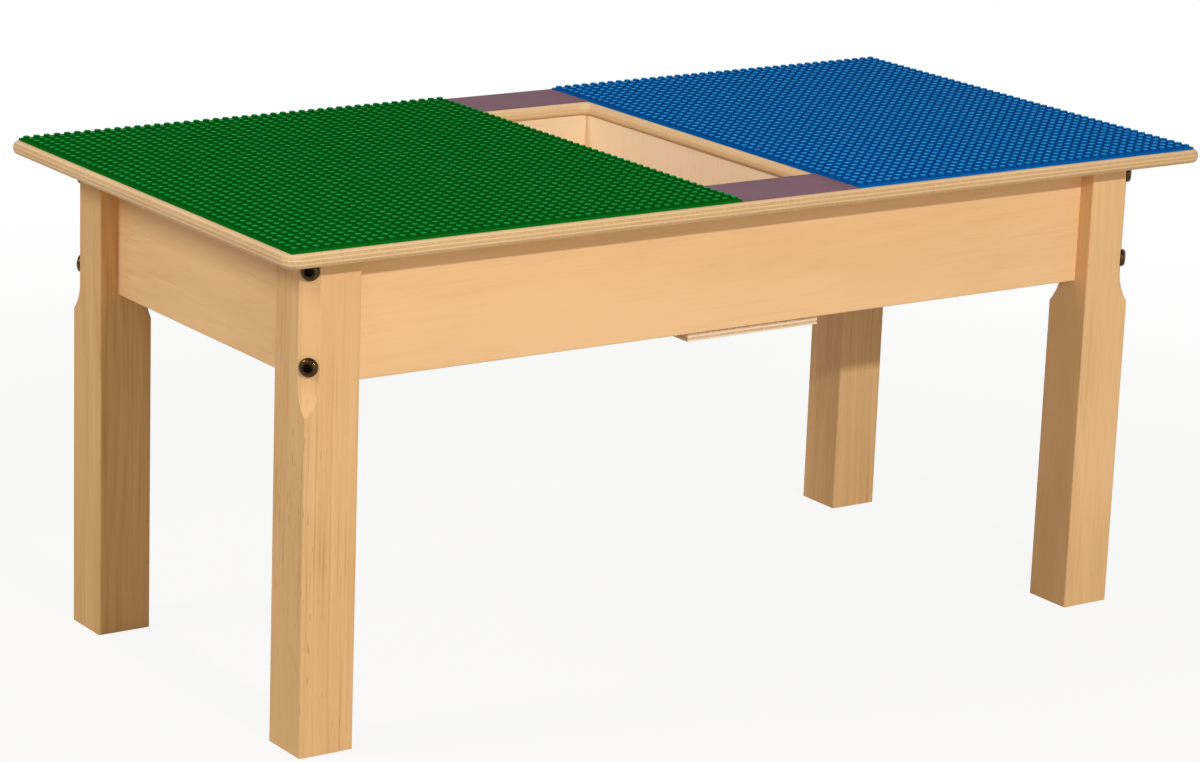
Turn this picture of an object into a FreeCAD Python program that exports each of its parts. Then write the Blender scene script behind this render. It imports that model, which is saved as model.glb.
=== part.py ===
"""Play table with two studded plates and a storage well, as separate pieces bolted, screwed and glued together.

The table stands on the floor at z = 0, with its middle at the origin. X runs along the table, from the green
plate to the blue one, and Y runs from the front to the rear. All sizes are in millimetres.
"""
import FreeCAD, Part
import math
import os
import Sketcher
from FreeCAD import Placement, Rotation, Vector

# A rounding takes at most this share of the board that it is on.
EDGE_LIMIT = 0.45

# Driving dimensions: what a maker would set, each written once.
SIZES = {
    # Studded plates
    "stud_pitch": 8.0,
    "stud_diameter": 4.8,
    "stud_height": 1.8,
    "plate_thickness": 1.6,
    "green_columns": 44,
    "blue_columns": 39,
    "stud_rows": 48,
    # Plywood top
    "plate_margin": 5.5,
    "top_thickness": 9.5,
    "top_edge_round": 4.0,
    "top_corner_radius": 10.0,
    # Storage well in the middle of the top
    "well_gap": 100.0,
    "well_rim": 4.5,
    "well_lip": 1.5,
    "well_corner_radius": 6.0,
    "strip_thickness": 0.8,
    "strip_clearance": 0.2,
    "bin_wall_thickness": 9.5,
    "bin_floor_thickness": 7.0,
    "bin_floor_lap": 5.0,
    # Legs
    "leg_length": 343.0,
    "leg_side": 41.0,
    "leg_inset": 34.0,
    "leg_edge_round": 1.5,
    "leg_cut": 10.2,
    "outer_cut_rise": 3.0,
    "inner_cut_drop": 0.2,
    "leg_cut_radius": 34.0,
    # Aprons, corner blocks and cleats
    "apron_height": 92.0,
    "apron_thickness": 10.0,
    "apron_setback": 14.0,
    "board_edge_round": 1.0,
    "block_reach": 30.0,
    "cleat_side": 15.0,
    "cleat_end_gap": 2.0,
    # Leg bolts and their tee nuts
    "bolt_diameter": 6.0,
    "bolt_length": 60.0,
    "bolt_head_diameter": 13.0,
    "bolt_head_rim": 0.9,
    "bolt_head_shoulder": 2.6,
    "bolt_socket": 5.0,
    "bolt_socket_depth": 2.4,
    "upper_bolt_edge": 12.0,
    "lower_bolt_edge": 16.0,
    "nut_barrel_diameter": 8.0,
    "nut_barrel_length": 9.0,
    "nut_flange_diameter": 16.0,
    "nut_flange_thickness": 1.5,
    # Wood screws and dowels
    "screw_diameter": 3.5,
    "screw_head_diameter": 7.0,
    "screw_head_taper": 0.6,
    "screw_head_height": 2.2,
    "cleat_screw_bite": 6.0,
    "block_screw_bite": 7.0,
    "block_screw_grip": 10.0,
    "block_screw_offset": 9.0,
    "block_screw_edge": 30.0,
    "floor_screw_bite": 18.0,
    "floor_screw_edge": 30.0,
    "dowel_diameter": 6.0,
    "dowel_length": 16.0,
    "dowel_edge": 24.0,
    "hole_clearance": 0.1,
}

# Sizes and places that follow from the driving dimensions.
DERIVED = {
    "bolt_head_height": "sizes.bolt_head_rim + sizes.bolt_head_shoulder",
    "plates_length": "(sizes.green_columns + sizes.blue_columns) * sizes.stud_pitch + sizes.well_gap",
    "plates_width": "sizes.stud_rows * sizes.stud_pitch",
    "top_length": "plates_length + 2 * sizes.plate_margin",
    "top_width": "plates_width + 2 * sizes.plate_margin",
    "top_face": "sizes.leg_length + sizes.top_thickness",
    "edge_round": f"min(sizes.top_edge_round; {EDGE_LIMIT} * sizes.top_thickness)",
    "green_right": "sizes.green_columns * sizes.stud_pitch - plates_length / 2",
    "blue_left": "green_right + sizes.well_gap",
    "well_middle": "green_right + sizes.well_gap / 2",
    "well_half_width": "sizes.well_gap / 2 - sizes.well_rim",
    "leg_x": "top_length / 2 - sizes.leg_inset - sizes.leg_side / 2",
    "leg_y": "top_width / 2 - sizes.leg_inset - sizes.leg_side / 2",
    "apron_face_in": "sizes.apron_setback + sizes.apron_thickness",
    "apron_inner_x": "leg_x + sizes.leg_side / 2 - apron_face_in",
    "apron_inner_y": "leg_y + sizes.leg_side / 2 - apron_face_in",
    "apron_bottom": "sizes.leg_length - sizes.apron_height",
    "long_apron_length": "2 * leg_x - sizes.leg_side",
    "short_apron_length": "2 * leg_y - sizes.leg_side",
    "well_half_length": "apron_inner_y - sizes.well_lip",
    "strip_depth": "plates_width / 2 - well_half_length - edge_round",
    "bin_half_width": "well_half_width + sizes.well_lip",
    "bin_left": "well_middle - bin_half_width - sizes.bin_wall_thickness",
    "bin_right": "well_middle + bin_half_width + sizes.bin_wall_thickness",
    "leg_half_diagonal": "sizes.leg_side / sqrt(2)",
    "leg_flat": "(sizes.leg_side - sizes.leg_cut) / sqrt(2)",
    "outer_flat_end": "apron_bottom + sizes.outer_cut_rise",
    "inner_flat_end": "apron_bottom - sizes.inner_cut_drop",
    "block_back": "(sizes.block_reach + apron_face_in) / sqrt(2)",
    "upper_bolt": "sizes.leg_length - sizes.upper_bolt_edge",
    "lower_bolt": "apron_bottom + sizes.lower_bolt_edge",
    "cleat_start": "long_apron_length / 2 - sizes.block_reach - sizes.cleat_end_gap",
    "short_cleat_half": "short_apron_length / 2 - sizes.block_reach - sizes.cleat_end_gap",
}

CORNERS = {
    "front_left": (-1, -1, 0.0),
    "front_right": (1, -1, 90.0),
    "rear_right": (1, 1, 180.0),
    "rear_left": (-1, 1, 270.0),
}
SHORT_CLEAT_SCREWS = 2
LONG_CLEAT_SCREWS = 3
# How far a cut runs past its piece, how near an edge is to where it is looked for, and what counts as equal.
OVERCUT = 1.0
NEAR = 0.5
SAME = 1e-6
X_AXIS = Vector(1, 0, 0)
Y_AXIS = Vector(0, 1, 0)
Z_AXIS = Vector(0, 0, 1)

doc = FreeCAD.newDocument("play_table")


def fill_sheet(name, cells):
    """Writes one spreadsheet, a row per size, with the size's name beside it as its alias."""
    sheet = doc.addObject("Spreadsheet::Sheet", name)
    for row, (alias, content) in enumerate(cells.items(), start=1):
        sheet.set(f"A{row}", alias)
        sheet.set(f"B{row}", str(content))
        sheet.setAlias(f"B{row}", alias)
    doc.recompute()
    return sheet


sizes = fill_sheet("sizes", SIZES)
derived = fill_sheet("derived", {alias: f"={formula}" for alias, formula in DERIVED.items()})
pieces = []


def number(expression):
    """The value of an expression in the two sheets."""
    return float(sizes.evalExpression(str(expression)))


def bind(feature, **properties):
    """Ties properties of a feature to expressions."""
    for name, expression in properties.items():
        feature.setExpression(name, str(expression))


def place(feature, x=0, y=0, z=0, rotation=None):
    """Turns a feature and ties its place to expressions."""
    feature.Placement = Placement(Vector(number(x), number(y), number(z)), rotation or Rotation())
    for axis, expression in zip("xyz", (x, y, z)):
        feature.setExpression(f"Placement.Base.{axis}", str(expression))


def keep(feature, label):
    """Names a finished piece, so that it is checked and written."""
    feature.Label = label
    pieces.append(feature)
    return feature


def box(name, length, width, height, x, y, z):
    """A block with its low corner at x, y, z."""
    block = doc.addObject("Part::Box", name)
    bind(block, Length=length, Width=width, Height=height)
    place(block, x, y, z)
    return block


def rod(name, radius, height, x, y, z, rotation=None):
    """A round bar or bore from x, y, z along its turned Z axis."""
    bar = doc.addObject("Part::Cylinder", name)
    bind(bar, Radius=radius, Height=height)
    place(bar, x, y, z, rotation)
    return bar


def drilled(label, base, bores):
    """A piece with bores cut out of it."""
    group = doc.addObject("Part::Compound", f"{label}_bores")
    group.Links = bores
    cut = doc.addObject("Part::Cut", f"{label}_drilled")
    cut.Base = base
    cut.Tool = group
    return keep(cut, label)


def sketch_on(body, name, role):
    """An empty sketch on one of a body's own origin planes."""
    sketch = body.newObject("Sketcher::SketchObject", name)
    plane = next(item for item in body.Origin.OriginFeatures if item.Role == role)
    sketch.AttachmentSupport = (plane, [""])
    sketch.MapMode = "FlatFace"
    return sketch


def hold_point(sketch, geometry, point, x, y):
    """Holds one point of a sketch at x, y, each an expression."""
    for kind, expression in (("DistanceX", x), ("DistanceY", y)):
        index = sketch.addConstraint(Sketcher.Constraint(kind, -1, 1, geometry, point, number(expression)))
        sketch.setExpression(f"Constraints[{index}]", str(expression))


def hold_radius(sketch, curve, radius):
    """Ties the radius of a circle or an arc to an expression."""
    index = sketch.addConstraint(Sketcher.Constraint("Radius", curve, number(radius)))
    sketch.setExpression(f"Constraints[{index}]", str(radius))


def draw_polygon(sketch, points, shoulder=None):
    """Straight sides through points held at expressions; shoulder is the number of one side that is a quarter
    of a circle, upright at its start and level at its end, and its radius."""
    corners = [Vector(number(x), number(y), 0) for x, y in points]
    first = sketch.GeometryCount
    side, radius = shoulder or (None, None)
    for step, (here, there) in enumerate(zip(corners, corners[1:] + corners[:1])):
        if step == side:
            circle = Part.Circle(Vector(there.x, here.y, 0), Z_AXIS, number(radius))
            sketch.addGeometry(Part.ArcOfCircle(circle, 0, math.pi / 2))
        else:
            sketch.addGeometry(Part.LineSegment(here, there))
    for step, (x, y) in enumerate(points):
        before = first + (step - 1) % len(points)
        sketch.addConstraint(Sketcher.Constraint("Coincident", before, 2, first + step, 1))
        hold_point(sketch, first + step, 1, x, y)
    if shoulder:
        hold_radius(sketch, first + side, radius)


def draw_circle(sketch, x, y, radius):
    """A circle held at x, y with its radius tied to an expression."""
    circle = sketch.addGeometry(Part.Circle(Vector(number(x), number(y), 0), Z_AXIS, number(radius)))
    hold_point(sketch, circle, 3, x, y)
    hold_radius(sketch, circle, radius)


def rectangle(x0, x1, y0, y1):
    """The corners of a rectangle, in order."""
    return [(x0, y0), (x1, y0), (x1, y1), (x0, y1)]


def pad(body, sketch, length):
    """Pads a sketch upwards by an expression."""
    feature = body.newObject("PartDesign::Pad", f"{body.Name}_pad")
    feature.Profile = sketch
    bind(feature, Length=length)
    doc.recompute()
    return feature


def pocket_both_ways(body, sketch, name):
    """Cuts a sketch through the whole body, to both sides of its plane."""
    before = body.Shape.Volume
    feature = body.newObject("PartDesign::Pocket", name)
    feature.Profile = sketch
    feature.Type = "ThroughAll"
    feature.Midplane = True
    doc.recompute()
    if feature.Shape.Volume >= before:
        raise RuntimeError(f"{name} cuts nothing")
    return feature


def round_edges(body, name, radius, wanted):
    """Rounds the edges of a body that pass a test."""
    tip = body.Tip
    names = [f"Edge{index}" for index, edge in enumerate(tip.Shape.Edges, start=1) if wanted(edge)]
    feature = body.newObject("PartDesign::Fillet", name)
    feature.Base = (tip, names)
    bind(feature, Radius=radius)
    doc.recompute()
    return feature


def runs_along(edge, axis):
    """Whether a straight edge runs along an axis."""
    ends = edge.Vertexes
    return len(ends) == 2 and (ends[1].Point - ends[0].Point).cross(axis).Length < SAME


def lies_at_height(edge, height):
    """Whether a whole edge lies at one height."""
    return abs(edge.BoundBox.ZMin - height) < SAME and abs(edge.BoundBox.ZMax - height) < SAME


def group_of(label, pattern, placements):
    """Copies of one fastener as separate solids in one piece."""
    group = doc.addObject("Part::Feature", label)
    group.Shape = Part.makeCompound([pattern.Shape.transformed(where.toMatrix(), True) for where in placements])
    return keep(group, label)


def turned_body(name, profile, shoulder=None):
    """A round body from half its section: points of radius and height, with one rounded shoulder or none."""
    body = doc.addObject("PartDesign::Body", name)
    sketch = sketch_on(body, f"{name}_section", "XZ_Plane")
    draw_polygon(sketch, profile, shoulder)
    axis = next(item for item in body.Origin.OriginFeatures if item.Role == "Z_Axis")
    feature = body.newObject("PartDesign::Revolution", f"{name}_turned")
    feature.Profile = sketch
    feature.ReferenceAxis = (axis, [""])
    feature.Angle = 360.0
    doc.recompute()
    return body


# Studded plates


def straight(start, end):
    """A straight edge between two points."""
    return Part.LineSegment(start, end).toShape()


def face_within(edges):
    """A flat face inside a ring of edges."""
    return Part.Face(Part.Wire(Part.__sortEdges__(edges)))


def studded_plate(label, columns, left):
    """One moulded plate from x = left: its upper face is a strip per column of studs, which stand on it."""
    pitch, thickness = sizes.stud_pitch, sizes.plate_thickness
    columns, rows = round(columns), round(sizes.stud_rows)
    front, rear = -derived.plates_width / 2, derived.plates_width / 2
    width = columns * pitch

    def upper(column, y):
        return Vector(column * pitch, y, thickness)

    seams = [straight(upper(column, front), upper(column, rear)) for column in range(columns + 1)]
    rims = {
        y: [straight(upper(column, y), upper(column + 1, y)) for column in range(columns)]
        for y in (front, rear)}
    low = [Vector(x, y, 0) for x, y in ((0, front), (width, front), (width, rear), (0, rear))]
    feet = [straight(low[side], low[(side + 1) % 4]) for side in range(4)]
    posts = [straight(corner, corner + Z_AXIS * thickness) for corner in low]
    tops = [rims[front], [seams[-1]], rims[rear], [seams[0]]]
    faces = [face_within(feet)]
    for side in range(4):
        faces.append(face_within([feet[side], posts[side], posts[(side + 1) % 4]] + tops[side]))
    for column in range(columns):
        strip = face_within([rims[front][column], seams[column + 1], rims[rear][column], seams[column]])
        roots = []
        for row in range(rows):
            foot = Vector((column + 0.5) * pitch, front + (row + 0.5) * pitch, thickness)
            wall, cap, root = Part.makeCylinder(sizes.stud_diameter / 2, sizes.stud_height, foot).Faces
            faces += [wall, cap]
            roots.append(root.OuterWire)
        strip.cutHoles(roots)
        faces.append(strip)
    plate = doc.addObject("Part::Feature", label)
    plate.Shape = Part.makeSolid(Part.makeShell(faces))
    plate.Placement = Placement(Vector(left, 0, derived.top_face), Rotation())
    return keep(plate, label)


studded_plate("green_plate", sizes.green_columns, -derived.plates_length / 2)
studded_plate("blue_plate", sizes.blue_columns, derived.blue_left)

# Fasteners, each made once with its seat at z = 0 and its shank pointing down

leg_bolt = turned_body("leg_bolt", [
    (0, "-sizes.bolt_length"),
    ("sizes.bolt_diameter / 2", "-sizes.bolt_length"),
    ("sizes.bolt_diameter / 2", 0),
    ("sizes.bolt_head_diameter / 2", 0),
    ("sizes.bolt_head_diameter / 2", "sizes.bolt_head_rim"),
    ("sizes.bolt_head_diameter / 2 - sizes.bolt_head_shoulder", "derived.bolt_head_height"),
    (0, "derived.bolt_head_height"),
], shoulder=(4, "sizes.bolt_head_shoulder"))
socket = sketch_on(leg_bolt, "bolt_socket_outline", "XY_Plane")
bind(socket, **{"AttachmentOffset.Base.z": "derived.bolt_head_height - sizes.bolt_socket_depth"})
FLAT, POINT = "sizes.bolt_socket / 2", "sizes.bolt_socket / sqrt(3)"
draw_polygon(socket, [
    (POINT, 0), (f"{POINT} / 2", FLAT), (f"-{POINT} / 2", FLAT),
    (f"-{POINT}", 0), (f"-{POINT} / 2", f"-{FLAT}"), (f"{POINT} / 2", f"-{FLAT}")])
socket_cut = leg_bolt.newObject("PartDesign::Pocket", "bolt_socket_cut")
socket_cut.Profile = socket
socket_cut.Reversed = True
bind(socket_cut, Length=f"sizes.bolt_socket_depth + {OVERCUT}")
doc.recompute()

tee_nut = turned_body("tee_nut", [
    ("sizes.bolt_diameter / 2 + sizes.hole_clearance", "-sizes.nut_barrel_length"),
    ("sizes.nut_barrel_diameter / 2", "-sizes.nut_barrel_length"),
    ("sizes.nut_barrel_diameter / 2", 0),
    ("sizes.nut_flange_diameter / 2", 0),
    ("sizes.nut_flange_diameter / 2", "sizes.nut_flange_thickness"),
    ("sizes.bolt_diameter / 2 + sizes.hole_clearance", "sizes.nut_flange_thickness"),
])


def screw_body(name, length):
    """A round-headed wood screw of a given length below its head."""
    return turned_body(name, [
        (0, f"-({length})"),
        ("sizes.screw_diameter / 2", f"sizes.screw_diameter - ({length})"),
        ("sizes.screw_diameter / 2", 0),
        ("sizes.screw_head_diameter / 2", 0),
        ("sizes.screw_head_diameter / 2 - sizes.screw_head_taper", "sizes.screw_head_height"),
        (0, "sizes.screw_head_height"),
    ])


SHANK_BORE = "sizes.screw_diameter / 2 + sizes.hole_clearance"
CLEAT_SCREW = "sizes.cleat_side + sizes.cleat_screw_bite"
BLOCK_SCREW = "sizes.block_screw_grip + sizes.block_screw_bite"
FLOOR_SCREW = "sizes.bin_floor_thickness - sizes.screw_head_height + sizes.floor_screw_bite"
cleat_screw = screw_body("cleat_screw", CLEAT_SCREW)
block_screw = screw_body("block_screw", BLOCK_SCREW)
floor_screw = screw_body("floor_screw", FLOOR_SCREW)
dowel = turned_body("dowel", rectangle(
    0, "sizes.dowel_diameter / 2", "-sizes.dowel_length / 2", "sizes.dowel_length / 2"))

# Cleats under the top: label, screws, low corner and size along X and Y

REAR_CLEAT_Y = "derived.apron_inner_y - sizes.cleat_side"
LEFT_CLEAT_LENGTH = "derived.bin_left - sizes.cleat_end_gap + derived.cleat_start"
RIGHT_CLEAT_X = "derived.bin_right + sizes.cleat_end_gap"
RIGHT_CLEAT_LENGTH = "derived.cleat_start - derived.bin_right - sizes.cleat_end_gap"
FRONT_CLEAT_Y = "-derived.apron_inner_y"
LEFT_CLEAT_X = "-derived.cleat_start"
END_CLEAT_Y = "-derived.short_cleat_half"
END_CLEAT_LENGTH = "2 * derived.short_cleat_half"
END_CLEAT_X = "derived.apron_inner_x - sizes.cleat_side"
CLEATS = [
    ("front_left_cleat", LONG_CLEAT_SCREWS, LEFT_CLEAT_X, FRONT_CLEAT_Y, LEFT_CLEAT_LENGTH, None),
    ("front_right_cleat", LONG_CLEAT_SCREWS, RIGHT_CLEAT_X, FRONT_CLEAT_Y, RIGHT_CLEAT_LENGTH, None),
    ("rear_left_cleat", LONG_CLEAT_SCREWS, LEFT_CLEAT_X, REAR_CLEAT_Y, LEFT_CLEAT_LENGTH, None),
    ("rear_right_cleat", LONG_CLEAT_SCREWS, RIGHT_CLEAT_X, REAR_CLEAT_Y, RIGHT_CLEAT_LENGTH, None),
    ("left_cleat", SHORT_CLEAT_SCREWS, "-derived.apron_inner_x", END_CLEAT_Y, None, END_CLEAT_LENGTH),
    ("right_cleat", SHORT_CLEAT_SCREWS, END_CLEAT_X, END_CLEAT_Y, None, END_CLEAT_LENGTH),
]
CLEAT_BOTTOM = "sizes.leg_length - sizes.cleat_side"
top_bores = []
cleat_screw_places = []
for label, screws, x, y, length, width in CLEATS:
    along_x = length or "sizes.cleat_side"
    along_y = width or "sizes.cleat_side"
    stick = box(f"{label}_stick", along_x, along_y, "sizes.cleat_side", x, y, CLEAT_BOTTOM)
    bores = []
    for step in range(screws):
        share_x, share_y = ((step + 0.5) / screws, 0.5) if length else (0.5, (step + 0.5) / screws)
        screw_x = f"{x} + ({along_x}) * {share_x}"
        screw_y = f"{y} + ({along_y}) * {share_y}"
        bores.append(rod(
            f"{label}_bore_{step}", SHANK_BORE, "sizes.cleat_side", screw_x, screw_y, CLEAT_BOTTOM))
        top_bores.append(rod(
            f"{label}_pilot_{step}", SHANK_BORE, "sizes.cleat_screw_bite + sizes.hole_clearance",
            screw_x, screw_y, "sizes.leg_length"))
        cleat_screw_places.append(Placement(
            Vector(number(screw_x), number(screw_y), number(CLEAT_BOTTOM)), Rotation(X_AXIS, 180)))
    drilled(label, stick, bores)
group_of("cleat_screws", cleat_screw, cleat_screw_places)

# Plywood top with rounded edges, and its cut-out over the well

panel = doc.addObject("PartDesign::Body", "panel")
panel_outline = sketch_on(panel, "panel_outline", "XY_Plane")
draw_polygon(panel_outline, rectangle(
    "-derived.top_length / 2", "derived.top_length / 2", "-derived.top_width / 2", "derived.top_width / 2"))
draw_polygon(panel_outline, rectangle(
    "derived.well_middle - derived.well_half_width", "derived.well_middle + derived.well_half_width",
    "-derived.well_half_length", "derived.well_half_length"))
pad(panel, panel_outline, "sizes.top_thickness")


def is_outer_corner(edge):
    """Whether an upright edge of the panel is one of its outer corners."""
    return runs_along(edge, Z_AXIS) and abs(edge.CenterOfMass.x) > derived.top_length / 2 - NEAR


def is_well_corner(edge):
    """Whether an upright edge of the panel is a corner of the cut-out."""
    return (runs_along(edge, Z_AXIS) and edge.Length > sizes.top_thickness - NEAR
            and abs(abs(edge.CenterOfMass.y) - derived.well_half_length) < NEAR)


round_edges(panel, "panel_corners", "sizes.top_corner_radius", is_outer_corner)
round_edges(panel, "well_corners", "sizes.well_corner_radius", is_well_corner)
round_edges(
    panel, "panel_edges", "derived.edge_round",
    lambda edge: lies_at_height(edge, 0) or lies_at_height(edge, sizes.top_thickness))
place(panel, 0, 0, "sizes.leg_length")
drilled("table_top", panel, top_bores)

# Bare strips on the top at the two ends of the well

for label, y in (
        ("front_strip", "-derived.plates_width / 2"),
        ("rear_strip", "derived.plates_width / 2 - derived.strip_depth")):
    keep(box(
        label, "sizes.well_gap - 2 * sizes.strip_clearance", "derived.strip_depth", "sizes.strip_thickness",
        "derived.green_right + sizes.strip_clearance", y, "derived.top_face"), label)

# Legs: made about their own axis with the corner that faces the table's middle along +X


def draw_run_out(sketch, side, turn):
    """What is cut off a leg's corner: straight down the flat to a height, then out in a quarter of a circle."""
    near = f"{side} * derived.leg_flat"
    far = f"{side} * (derived.leg_flat + sizes.leg_cut_radius)"
    top = f"sizes.leg_length + {OVERCUT}"
    low = f"{turn} - sizes.leg_cut_radius"
    corners = [Vector(number(x), number(z), 0) for x, z in ((near, top), (near, turn), (far, low), (far, top))]
    circle = Part.Circle(Vector(number(far), number(turn), 0), Z_AXIS, number("sizes.leg_cut_radius"))
    start, end, start_point, end_point = (180, 270, 1, 2) if side > 0 else (270, 360, 2, 1)
    sketch.addGeometry(Part.LineSegment(corners[0], corners[1]))
    sketch.addGeometry(Part.ArcOfCircle(circle, math.radians(start), math.radians(end)))
    sketch.addGeometry(Part.LineSegment(corners[2], corners[3]))
    sketch.addGeometry(Part.LineSegment(corners[3], corners[0]))
    sketch.addConstraint(Sketcher.Constraint("Coincident", 0, 2, 1, start_point))
    sketch.addConstraint(Sketcher.Constraint("Coincident", 1, end_point, 2, 1))
    sketch.addConstraint(Sketcher.Constraint("Coincident", 2, 2, 3, 1))
    sketch.addConstraint(Sketcher.Constraint("Coincident", 3, 2, 0, 1))
    sketch.addConstraint(Sketcher.Constraint("Vertical", 2))
    hold_point(sketch, 0, 1, near, top)
    hold_point(sketch, 0, 2, near, turn)
    hold_point(sketch, 2, 2, far, top)
    hold_point(sketch, 1, 3, far, turn)


for corner, (side_x, side_y, turn) in CORNERS.items():
    leg = doc.addObject("PartDesign::Body", f"{corner}_leg")
    section = sketch_on(leg, f"{corner}_leg_section", "XY_Plane")
    draw_polygon(section, [
        ("derived.leg_half_diagonal", 0), (0, "derived.leg_half_diagonal"),
        ("-derived.leg_half_diagonal", 0), (0, "-derived.leg_half_diagonal")])
    pad(leg, section, "sizes.leg_length")
    round_edges(leg, f"{corner}_leg_edges", "sizes.leg_edge_round", lambda edge: runs_along(edge, Z_AXIS))
    for side, name in ((-1, "outer"), (1, "inner")):
        flat = sketch_on(leg, f"{corner}_leg_{name}_flat", "XZ_Plane")
        draw_run_out(flat, side, f"derived.{name}_flat_end")
        pocket_both_ways(leg, flat, f"{corner}_leg_{name}_cut")
    bolt_holes = sketch_on(leg, f"{corner}_leg_bolt_holes", "YZ_Plane")
    for height in ("derived.upper_bolt", "derived.lower_bolt"):
        draw_circle(bolt_holes, 0, height, "sizes.bolt_diameter / 2 + sizes.hole_clearance")
    pocket_both_ways(leg, bolt_holes, f"{corner}_leg_bolt_bores")
    place(leg, f"{side_x} * derived.leg_x", f"{side_y} * derived.leg_y", 0, Rotation(Z_AXIS, 45 + turn))
    keep(leg, f"{corner}_leg")

# Leg bolts and tee nuts, along each leg's diagonal towards the table's middle

bolt_places = []
nut_places = []
for side_x, side_y, turn in CORNERS.values():
    inwards = Rotation(Z_AXIS, 45 + turn).multVec(X_AXIS)
    axis = Vector(side_x * derived.leg_x, side_y * derived.leg_y, 0)
    for height in (derived.upper_bolt, derived.lower_bolt):
        level = Z_AXIS * height
        bolt_places.append(Placement(axis + level - inwards * derived.leg_flat, Rotation(Z_AXIS, inwards * -1)))
        nut_places.append(Placement(axis + level + inwards * derived.block_back, Rotation(Z_AXIS, inwards)))
group_of("leg_bolts", leg_bolt, bolt_places)
group_of("bolt_tee_nuts", tee_nut, nut_places)

# Corner blocks: notched round each leg's inner corner, glued and screwed to two aprons

HALF_LEG = "sizes.leg_side / 2"
APRON_LINE = "(derived.apron_face_in - sizes.leg_side / 2)"
CUT_LINE = "(sizes.leg_side / 2 - sizes.leg_cut)"
REACH = "(sizes.leg_side / 2 + sizes.block_reach)"
SCREW_LINE = "(sizes.leg_side / 2 + sizes.block_screw_offset)"
BLOCK_SCREW_HEIGHTS = (
    "sizes.leg_length - sizes.block_screw_edge", "derived.apron_bottom + sizes.block_screw_edge")
HEAD_BORE = "sizes.screw_head_diameter / 2 + sizes.hole_clearance"
block_screw_places = []
apron_screw_points = []
for corner, (side_x, side_y, turn) in CORNERS.items():
    wedge = doc.addObject("PartDesign::Body", f"{corner}_block_wedge")
    outline = sketch_on(wedge, f"{corner}_block_outline", "XY_Plane")
    draw_polygon(outline, [
        (HALF_LEG, APRON_LINE), (REACH, APRON_LINE), (APRON_LINE, REACH),
        (APRON_LINE, HALF_LEG), (CUT_LINE, HALF_LEG), (HALF_LEG, CUT_LINE)])
    pad(wedge, outline, "sizes.apron_height")
    spin = Rotation(Z_AXIS, turn)
    leg_axis = (f"{side_x} * derived.leg_x", f"{side_y} * derived.leg_y")
    place(wedge, *leg_axis, "derived.apron_bottom", spin)
    along = Rotation(Z_AXIS, spin.multVec(Vector(1, 1, 0)))
    bores = []
    for level in ("upper_bolt", "lower_bolt"):
        name = f"{corner}_block_{level}"
        height = f"derived.{level}"
        bores.append(rod(
            f"{name}_bore", "sizes.bolt_diameter / 2 + sizes.hole_clearance", "2 * derived.block_back",
            *leg_axis, height, along))
        barrel = spin.multVec(Vector(1, 1, 0)).normalize()
        start = "(derived.block_back - sizes.nut_barrel_length - sizes.hole_clearance)"
        bores.append(rod(
            f"{name}_barrel", "sizes.nut_barrel_diameter / 2 + sizes.hole_clearance",
            "2 * sizes.nut_barrel_length",
            f"{leg_axis[0]} + {barrel.x} * {start}", f"{leg_axis[1]} + {barrel.y} * {start}", height, along))
    for wing, inward in ((Vector(1, 0, 0), Vector(0, 1, 0)), (Vector(0, 1, 0), Vector(1, 0, 0))):
        out, back = spin.multVec(wing), spin.multVec(inward)
        point = [f"{leg_axis[k]} + {out[k]} * {SCREW_LINE} + {back[k]} * {APRON_LINE}" for k in range(2)]
        seat = [f"{point[k]} + {back[k]} * sizes.block_screw_grip" for k in range(2)]
        for height in BLOCK_SCREW_HEIGHTS:
            name = f"{corner}_block_screw_{len(block_screw_places)}"
            turned = Rotation(Z_AXIS, back)
            bores.append(rod(f"{name}_bore", SHANK_BORE, "sizes.block_screw_grip", *point, height, turned))
            bores.append(rod(f"{name}_seat", HEAD_BORE, "sizes.block_reach", *seat, height, turned))
            apron_screw_points.append((point, height, back))
            block_screw_places.append(Placement(
                Vector(number(seat[0]), number(seat[1]), number(height)), turned))
    drilled(f"{corner}_block", wedge, bores)
group_of("block_screws", block_screw, block_screw_places)

# Bin walls between the long aprons, with dowels in their ends

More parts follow.
